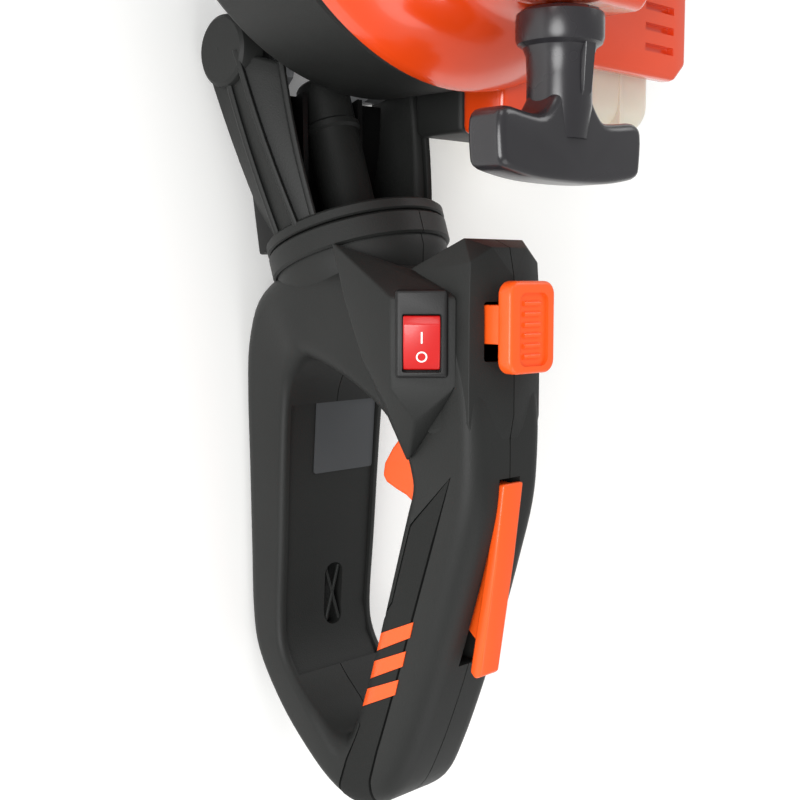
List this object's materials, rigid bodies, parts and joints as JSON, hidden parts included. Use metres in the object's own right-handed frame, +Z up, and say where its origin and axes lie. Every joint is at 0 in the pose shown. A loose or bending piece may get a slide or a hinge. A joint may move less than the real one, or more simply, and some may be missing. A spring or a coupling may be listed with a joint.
{
  "type": "hedge trimmer",
  "caption": "Petrol hedge trimmer with a long double-sided cutter bar, a pull starter, a bail front handle and a turning rear handle with trigger, palm lever and stop switch.",
  "frame": {"origin": "middle of the gear case's flat bottom face, which the machine stands on", "axes": "+X towards the blade tip, +Y to the user's left, +Z up"},
  "size_m": [1.0487, 0.2857, 0.1994],
  "materials": {
    "charcoal": "fine grained moulded plastic",
    "black": "moulded plastic",
    "soft_grip": "soft over-moulded grip",
    "orange": "glossy moulded plastic",
    "red": "glossy moulded plastic",
    "rubber": "matt rubber",
    "steel": "machined",
    "aluminium": "cast",
    "tank": "translucent moulded plastic",
    "ceramic": "glazed ceramic",
    "foam": "open foam",
    "rope": "braided cord"
  },
  "bodies": {
    "chassis": {"swivel_bracket": "charcoal", "lower_housing": "charcoal", "air_filter_base": "charcoal", "front_handle": "charcoal", "tip_guard": "black", "ignition_coil": "black", "muffler_guard": "black", "hand_guard": "black", "engine_shroud": "orange", "air_filter_cover": "orange", "buffer_left": "rubber", "buffer_right": "rubber", "plug_cap": "rubber", "fork_bolt_left": "steel", "fork_bolt_right": "steel", "cam_shaft": "steel", "blade_support_bar": "steel", "blade_bolt_1": "steel", "blade_bolt_2": "steel", "blade_bolt_3": "steel", "recoil_spring": "steel", "muffler": "steel", "gear_case": "aluminium", "gear_case_cover": "aluminium", "clutch_housing": "aluminium", "crankcase": "aluminium", "cylinder": "aluminium", "carburettor": "aluminium", "fuel_tank": "tank", "spark_plug": "ceramic", "filter_element": "foam", "starter_rope": "rope"},
    "rear_handle": {"handle_shell_left": "charcoal", "handle_shell_right": "charcoal", "grip_pad_left": "soft_grip", "grip_pad_right": "soft_grip", "stop_switch_housing": "black", "trigger_pin": "steel", "trigger_spring": "steel", "lockout_pin": "steel", "lock_spring": "steel", "throttle_cable": "black"},
    "switch_rocker": {"stop_switch_rocker": "red"},
    "trigger": {"throttle_trigger": "orange"},
    "lockout": {"throttle_lockout": "orange"},
    "lock_button": {"rotation_lock": "orange"},
    "pull_grip": {"starter_grip": "charcoal"},
    "starter_drum": {"starter_pulley": "black"},
    "crank": {"crankshaft": "steel", "flywheel": "aluminium", "clutch_rotor": "steel"},
    "piston_set": {"piston": "aluminium", "connecting_rod": "steel"},
    "output_drum": {"clutch_drum": "steel"},
    "cam": {"cam_gear": "steel"},
    "blade_upper": {"upper_blade": "steel"},
    "blade_lower": {"lower_blade": "steel"},
    "choke": {"choke_lever": "black"},
    "primer": {"primer_bulb": "tank"},
    "filler_cap": {"fuel_cap": "black"}
  },
  "joints": [
    {"name": "handle_swivel", "type": "hinge", "parent": "chassis", "child": "rear_handle", "pos_m": [-0.16, 0, 0.038], "axis": [0.9478, 0, -0.319], "range_deg": [-90, 90]},
    {"name": "switch_press", "type": "hinge", "parent": "rear_handle", "child": "switch_rocker", "pos_m": [-0.1955, 0.027, 0.098], "axis": [0, 0.7071, -0.7071], "range_deg": [0, 16]},
    {"name": "trigger_pull", "type": "hinge", "parent": "rear_handle", "child": "trigger", "pos_m": [-0.239, 0, 0.087], "axis": [0, 1, 0], "range_deg": [-2, 12], "stiffness_Nm_per_rad": 0.05, "springref_deg": -114.59},
    {"name": "lockout_press", "type": "hinge", "parent": "rear_handle", "child": "lockout", "pos_m": [-0.249, 0, 0.1075], "axis": [0, -1, 0], "range_deg": [0, 4], "stiffness_Nm_per_rad": 0.1},
    {"name": "lock_slide", "type": "slide", "parent": "rear_handle", "child": "lock_button", "axis": [-1, 0, 0], "range_m": [0, 0.005], "stiffness_N_per_m": 120},
    {"name": "pull_cord", "type": "slide", "parent": "chassis", "child": "pull_grip", "axis": [-0.9877, 0, 0.1564], "range_m": [0, 0.6]},
    {"name": "starter_turn", "type": "hinge", "parent": "chassis", "child": "starter_drum", "pos_m": [-0.01, 0, 0.133], "axis": [0, 0, 1], "range_deg": [0, 929.12]},
    {"name": "crank_spin", "type": "hinge", "parent": "chassis", "child": "crank", "pos_m": [-0.01, 0, 0.038], "axis": [0, 0, 1], "continuous": true},
    {"name": "piston_stroke", "type": "slide", "parent": "chassis", "child": "piston_set", "axis": [0, -1, 0], "range_m": [-0.006, 0.01]},
    {"name": "drum_spin", "type": "hinge", "parent": "chassis", "child": "output_drum", "pos_m": [-0.01, 0, 0.038], "axis": [0, 0, 1], "continuous": true},
    {"name": "cam_spin", "type": "hinge", "parent": "chassis", "child": "cam", "pos_m": [0.024, 0, 0.038], "axis": [0, 0, 1], "continuous": true},
    {"name": "upper_stroke", "type": "slide", "parent": "chassis", "child": "blade_upper", "axis": [1, 0, 0], "range_m": [-0.016, 0]},
    {"name": "lower_stroke", "type": "slide", "parent": "chassis", "child": "blade_lower", "axis": [1, 0, 0], "range_m": [0, 0.016]},
    {"name": "choke_turn", "type": "hinge", "parent": "chassis", "child": "choke", "pos_m": [-0.06, -0.062, 0.079], "axis": [0, -1, 0], "range_deg": [0, 60]},
    {"name": "primer_push", "type": "slide", "parent": "chassis", "child": "primer", "axis": [0, 1, 0], "range_m": [-0.002, 0], "stiffness_N_per_m": 40, "springref_m": -0.002},
    {"name": "cap_turn", "type": "hinge", "parent": "chassis", "child": "filler_cap", "pos_m": [-0.084, -0.137, 0.05], "axis": [0, -1, 0], "range_deg": [0, 300]}
  ],
  "couplings": [
    {"joint": "starter_turn", "follows": "pull_cord", "rad_per_m": 27.027},
    {"joint": "drum_spin", "follows": "cam_spin", "ratio": -4},
    {"joint": "lower_stroke", "follows": "upper_stroke", "ratio": -1}
  ]
}
